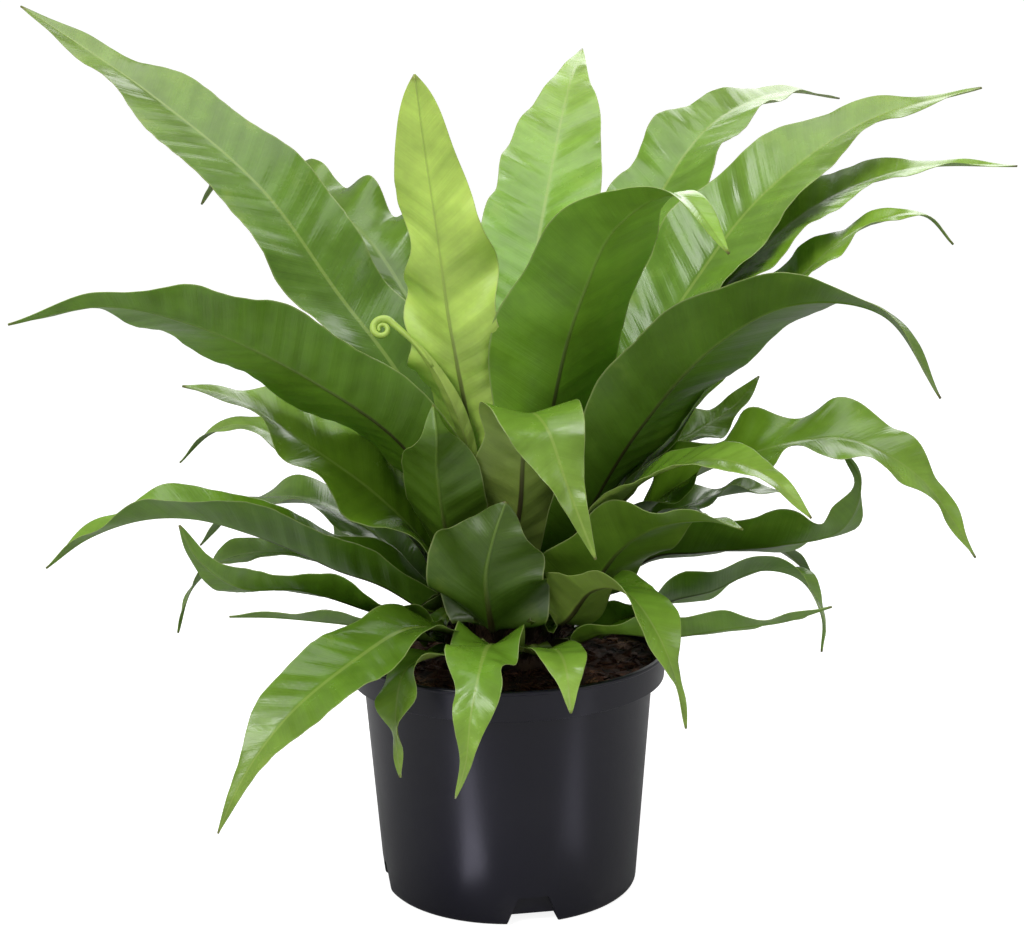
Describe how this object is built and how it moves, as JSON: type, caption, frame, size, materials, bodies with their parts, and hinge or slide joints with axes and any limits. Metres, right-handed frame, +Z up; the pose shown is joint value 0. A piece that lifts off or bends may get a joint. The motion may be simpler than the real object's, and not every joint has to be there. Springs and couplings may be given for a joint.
{
  "type": "potted birds nest fern",
  "caption": "Rosette of wavy strap-shaped fern fronds rising from a short crown, planted in a round flared nursery pot.",
  "frame": {"origin": "middle of the pot's flat foot pad, on the surface the pot stands on", "axes": "+Z up; +Y away from the side the picture is taken from; +X to the right of that view"},
  "size_m": [0.6015, 0.5036, 0.5206],
  "materials": {
    "pot_plastic": "satin",
    "soil_bark": "matte",
    "crown_scale": "matte",
    "leaf_young": "satin",
    "leaf_middle": "satin",
    "leaf_mature": "satin"
  },
  "bodies": {
    "root": {"pot": "pot_plastic", "soil": "soil_bark", "crown": "crown_scale", "crozier": "leaf_young", "frond_upright_left": "leaf_young", "frond_upright_back": "leaf_young", "frond_left_high": "leaf_young", "frond_centre_right": "leaf_mature", "frond_back_left": "leaf_middle", "frond_right_high": "leaf_young", "frond_back_right": "leaf_young", "frond_folded_over": "leaf_young", "frond_right_broad": "leaf_mature", "frond_left_broad": "leaf_mature", "frond_right_upper": "leaf_middle", "frond_left_second": "leaf_middle", "frond_trumpet": "leaf_mature", "frond_front_cup": "leaf_mature", "frond_right_under": "leaf_middle", "frond_left_thin": "leaf_middle", "frond_right_glossy": "leaf_middle", "frond_right_light": "leaf_young", "frond_back_inner": "leaf_mature", "frond_back_side": "leaf_mature", "frond_left_long": "leaf_mature", "frond_right_curled": "leaf_mature", "frond_right_middle": "leaf_middle", "frond_right_hooked": "leaf_mature", "frond_right_far": "leaf_mature", "frond_left_twisted": "leaf_mature", "frond_left_low": "leaf_mature", "frond_left_behind": "leaf_mature", "frond_front_right": "leaf_young", "frond_back_middle": "leaf_mature", "frond_left_drooping": "leaf_young", "frond_left_dark": "leaf_mature", "frond_front_left": "leaf_young", "frond_front": "leaf_young", "frond_front_small": "leaf_young", "frond_right_bent": "leaf_mature", "frond_right_low": "leaf_mature", "frond_back_low_right": "leaf_mature", "frond_back_low_left": "leaf_mature", "frond_back_low_middle": "leaf_mature"}
  },
  "joints": []
}
